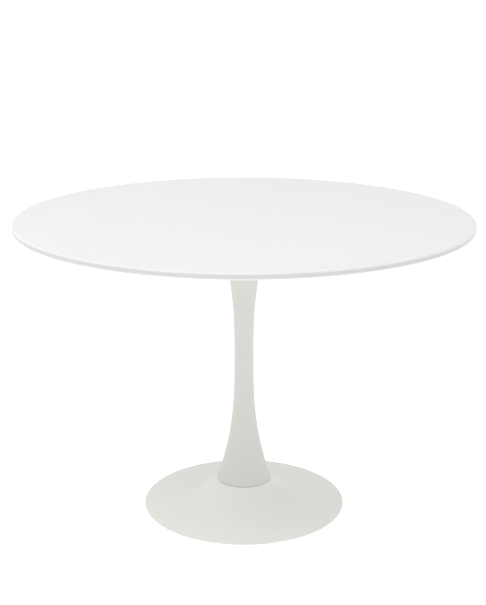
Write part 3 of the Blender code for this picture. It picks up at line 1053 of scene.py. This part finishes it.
class PEDESTAL_OT_nuts_and_washers(Operator):
    """Makes the chamfered nuts, the wide washer and the split spring washer on the rod"""

    bl_idname = "pedestal.nuts_and_washers"
    bl_label = "Nuts and washers"

    def execute(self, context):
        for node in ("plate_nut", "base_nut"):
            lower, upper, corner = low(node).z, high(node).z, radius_of(node)
            face = corner * math.cos(math.pi / 6) * 0.97  # radius left flat by the chamfer
            bevel = (corner - face) * math.tan(math.radians(30))
            barrel = [
                (0, upper),
                (face, upper),
                (corner + 0.0002, upper - bevel),
                (corner + 0.0002, lower + bevel),
                (face, lower),
                (0, lower),
            ]
            nut = turned(f"{node}_visual", barrel, 96)
            cut(nut, prism("hexagon", 6, corner, lower - 0.002, upper + 0.002), "INTERSECT")
            bore = radius_of("tie_rod") + TOUCH_GAP
            hollow = [
                (0, upper + 0.001),
                (bore + 0.0015, upper + 0.001),
                (bore, upper - 0.0006),
                (bore, lower + 0.0006),
                (bore + 0.0015, lower - 0.001),
                (0, lower - 0.001),
            ]
            cut(nut, turned("nut_bore", hollow, 48))
            place(nut, "zinc_plated_steel", node)
        for node, edge in (("clamp_washer", 0.0004), ("lock_washer", 0.0003)):
            outline = ring_outline(bore_of(node), radius_of_side(node), low(node).z, high(node).z, edge)
            washer = turned(f"{node}_visual", outline, 96)
            if node == "lock_washer":
                cut(washer, slanted_split(node))
            place(washer, "zinc_plated_steel", node)
        return {"FINISHED"}


def radius_of_side(node):
    """Outside radius of a round piece that may be open on its +X side."""
    return -low(node).x


def slanted_split(node):
    """The thin slanted block that opens the spring washer."""
    piece = new_piece("washer_split")
    work = bmesh.new()
    bmesh.ops.create_cube(work, size=1)
    bmesh.ops.scale(work, vec=(0.012, 0.0015, 0.008), verts=work.verts)
    for vert in work.verts:
        vert.co.y += vert.co.z * 0.35
    bmesh.ops.translate(work, verts=work.verts, vec=(0.0105, 0, middle(node).z))
    work.to_mesh(piece.data)
    work.free()
    return piece


class PEDESTAL_OT_base_cover(Operator):
    """Makes the spun base: lip, trumpet flare, low dome and rolled rim"""

    bl_idname = "pedestal.base_cover"
    bl_label = "Base cover"

    def execute(self, context):
        rule = shape()
        outside = base_outside()
        rim = bend(outside[-1], (BASE_RADIUS, outside[-1][1]), (BASE_RADIUS, RIM_LOW_Z), 12)
        land = BASE_RADIUS - rule.rim_land
        inside = [point for point in offset(outside, rule.base_wall) if point[0] < land - rule.base_wall]
        profile = [
            (ROD_BORE, NECK_TOP_Z),
            *outside,
            *rim[1:],
            (land, RIM_LOW_Z),
            (land, dome_height(land) - rule.base_wall),
            *reversed(inside),
            (ROD_BORE, NECK_TOP_Z - rule.base_wall),
        ]
        place(turned("base_cover_visual", profile, rule.sides), "white_powder_coat", "base_cover")
        return {"FINISHED"}


class PEDESTAL_OT_ballast(Operator):
    """Makes the cast-iron weight inside the base, with its uneven cast skin"""

    bl_idname = "pedestal.ballast"
    bl_label = "Ballast"

    def execute(self, context):
        edge_radius = radius_of("ballast")
        lower, upper = low("ballast").z, high("ballast").z
        ceiling = upper - HUB_FLANGE
        foot_radius = HUB_RADIUS + HUB_TAPER
        ease, chamfer = 0.002, 0.0005
        crown = upper - ease
        lift = shape().base_wall + BALLAST_COVER_GAP
        under_cover = offset(base_outside(), lift)
        disc_start = foot_radius + SHOULDER_WIDTH
        disc = [point for point in under_cover if disc_start < point[0] < edge_radius - 1.5 * ease]
        disc.append((edge_radius - ease, base_height(edge_radius - ease) - lift))
        shoulder = bend((foot_radius, HUB_FOOT_Z), (foot_radius, disc[0][1]), disc[0], 20)
        edge_top = disc[-1][1]
        mouth_radius, mouth_top = RECESS_RADIUS + RECESS_MOUTH_FLARE, lower + RECESS_MOUTH_HEIGHT
        profile = [
            (ROD_BORE, upper),
            *straight((ROD_BORE + 0.004, upper), (HUB_RADIUS - ease, upper), 9),
            *arc((HUB_RADIUS - ease, crown), ease, 70, 20, 3),
            *straight((HUB_RADIUS, crown), (foot_radius, HUB_FOOT_Z), 8)[:-1],
            *shoulder,
            *disc[1:],
            (edge_radius, edge_top - ease),
            *straight((edge_radius, edge_top - 0.0035), (edge_radius, lower + 0.001), 3),
            *straight((edge_radius - 0.001, lower), (mouth_radius, lower), 40),
            *straight((mouth_radius - chamfer, lower + chamfer), (RECESS_RADIUS, mouth_top), 8),
            *straight((RECESS_RADIUS, mouth_top + 0.0015), (RECESS_RADIUS, ceiling - 0.001), 14),
            *straight((RECESS_RADIUS - 0.001, ceiling), (ROD_BORE + 0.002, ceiling), 9),
            (ROD_BORE, ceiling),
        ]
        weight = turned("ballast_visual", profile, 192)
        values = {"Depth": 0.0003, "Grain": 70.0, "Material": material("cast_iron")}
        apply_tree(weight, bpy.data.node_groups["Cast Skin"], values)
        place(smooth(weight, 50), "cast_iron", "ballast")
        return {"FINISHED"}


class PEDESTAL_OT_floor_ring(Operator):
    """Makes the non-slip ring under the rim, ribbed where it meets the floor"""

    bl_idname = "pedestal.floor_ring"
    bl_label = "Floor ring"

    def execute(self, context):
        outer, inner, upper = radius_of("floor_ring"), bore_of("floor_ring"), high("floor_ring").z
        ribs = []
        rib_count, groove = 7, 0.0004
        half = (outer - inner) / rib_count / 2
        for i in range(rib_count):
            centre = outer - (2 * i + 1) * half
            ribs += [(centre + half * 0.8, 0), (centre - half * 0.4, 0)]
            ribs += [(centre - half * 0.6, groove), (centre - half * 0.95, groove)]
        outline = [
            (inner, upper),
            (outer - 0.0002, upper),
            (outer, upper - 0.0002),
            (outer, 0.0003),
            *ribs,
            (inner, 0.0006),
        ]
        place(turned("floor_ring_visual", outline, shape().sides), "grey_rubber", "floor_ring")
        return {"FINISHED"}


class PEDESTAL_OT_stage(Operator):
    """Sets up the white floor, the soft lights and the camera"""

    bl_idname = "pedestal.stage"
    bl_label = "Stage"

    def execute(self, context):
        values = context.scene.pedestal_stage
        floor = new_piece("floor")
        reach = FLOOR_REACH
        corners = [(-reach, -reach, 0), (reach, -reach, 0), (reach, reach, 0), (-reach, reach, 0)]
        floor.data.from_pydata(corners, [], [(0, 1, 2, 3)])
        floor.data.materials.append(floor_finish(values.floor_glow))

        world = bpy.data.worlds.new("white_studio")
        world.use_nodes = True
        sky = world.node_tree.nodes["Background"]
        sky.inputs["Color"].default_value = (1, 1, 1, 1)
        sky.inputs["Strength"].default_value = values.sky
        context.scene.world = world

        add_light("key_light", KEY_LIGHT_AT, middle("table_top"), KEY_LIGHT_WIDTH, values.key)
        add_light("low_light", LOW_LIGHT_AT, middle("base_cover"), LOW_LIGHT_WIDTH, values.low)

        camera = bpy.data.cameras.new("camera")
        camera.lens = values.focal_length
        camera.clip_end = 200
        viewer = bpy.data.objects.new("camera", camera)
        viewer.location = (values.sideways, -values.distance, values.height)
        viewer.rotation_euler = (math.pi / 2 - values.pitch, 0, 0)
        context.scene.collection.objects.link(viewer)
        context.scene.camera = viewer
        context.scene.view_settings.view_transform = "Standard"
        return {"FINISHED"}


def floor_finish(glow):
    """A white floor that partly glows, so that shadows on it stay faint."""
    made = bpy.data.materials.new("studio_floor")
    made.use_nodes = True
    shader = made.node_tree.nodes["Principled BSDF"]
    shader.inputs["Base Color"].default_value = FLOOR_GREY
    shader.inputs["Roughness"].default_value = 0.9
    shader.inputs["Specular IOR Level"].default_value = 0.0
    shader.inputs["Emission Color"].default_value = (1, 1, 1, 1)
    shader.inputs["Emission Strength"].default_value = glow
    return made


def add_light(name, place_at, aim, width, power):
    """A round area light that the camera itself doesn't see."""
    light = bpy.data.lights.new(name, "AREA")
    light.shape = "DISK"
    light.size = width
    light.energy = power
    lamp = bpy.data.objects.new(name, light)
    lamp.location = place_at
    lamp.visible_camera = False
    lamp.rotation_euler = (aim - lamp.location).to_track_quat("-Z", "Y").to_euler()
    bpy.context.scene.collection.objects.link(lamp)


# ---------------------------------------------------------------- the panel and the add-on

OPERATORS = (
    PEDESTAL_OT_table_top,
    PEDESTAL_OT_insert_nuts,
    PEDESTAL_OT_mounting_plate,
    PEDESTAL_OT_plate_screws,
    PEDESTAL_OT_column,
    PEDESTAL_OT_column_rings,
    PEDESTAL_OT_tie_rod,
    PEDESTAL_OT_nuts_and_washers,
    PEDESTAL_OT_base_cover,
    PEDESTAL_OT_ballast,
    PEDESTAL_OT_floor_ring,
    PEDESTAL_OT_stage,
)


class PEDESTAL_PT_panel(Panel):
    """Lists the sizes, the finishes and the pieces of the table"""

    bl_idname = "PEDESTAL_PT_panel"
    bl_label = "Pedestal Table"
    bl_space_type = "VIEW_3D"
    bl_region_type = "UI"
    bl_category = "Pedestal Table"

    def draw(self, context):
        for operator in OPERATORS:
            self.layout.operator(operator.bl_idname)
        for group in GROUPS:
            settings = getattr(context.scene, group)
            box = self.layout.box()
            for name in settings.__annotations__:
                box.prop(settings, name)


GROUPS = {
    "pedestal_shape": PedestalShape,
    "pedestal_finish": PedestalFinish,
    "pedestal_stage": PedestalStage,
}
CLASSES = (*GROUPS.values(), *OPERATORS, PEDESTAL_PT_panel)


def register():
    for cls in CLASSES:
        bpy.utils.register_class(cls)
    for name, group in GROUPS.items():
        setattr(bpy.types.Scene, name, PointerProperty(type=group))


def unregister():
    for name in GROUPS:
        delattr(bpy.types.Scene, name)
    for cls in reversed(CLASSES):
        bpy.utils.unregister_class(cls)


def main():
    register()
    for build in (shell_tree, circle_tree, cast_tree, build_effects, build_finishes):
        build()
    for operator in OPERATORS:
        family, name = operator.bl_idname.split(".")
        getattr(getattr(bpy.ops, family), name)()


if __name__ == "__main__":
    main()
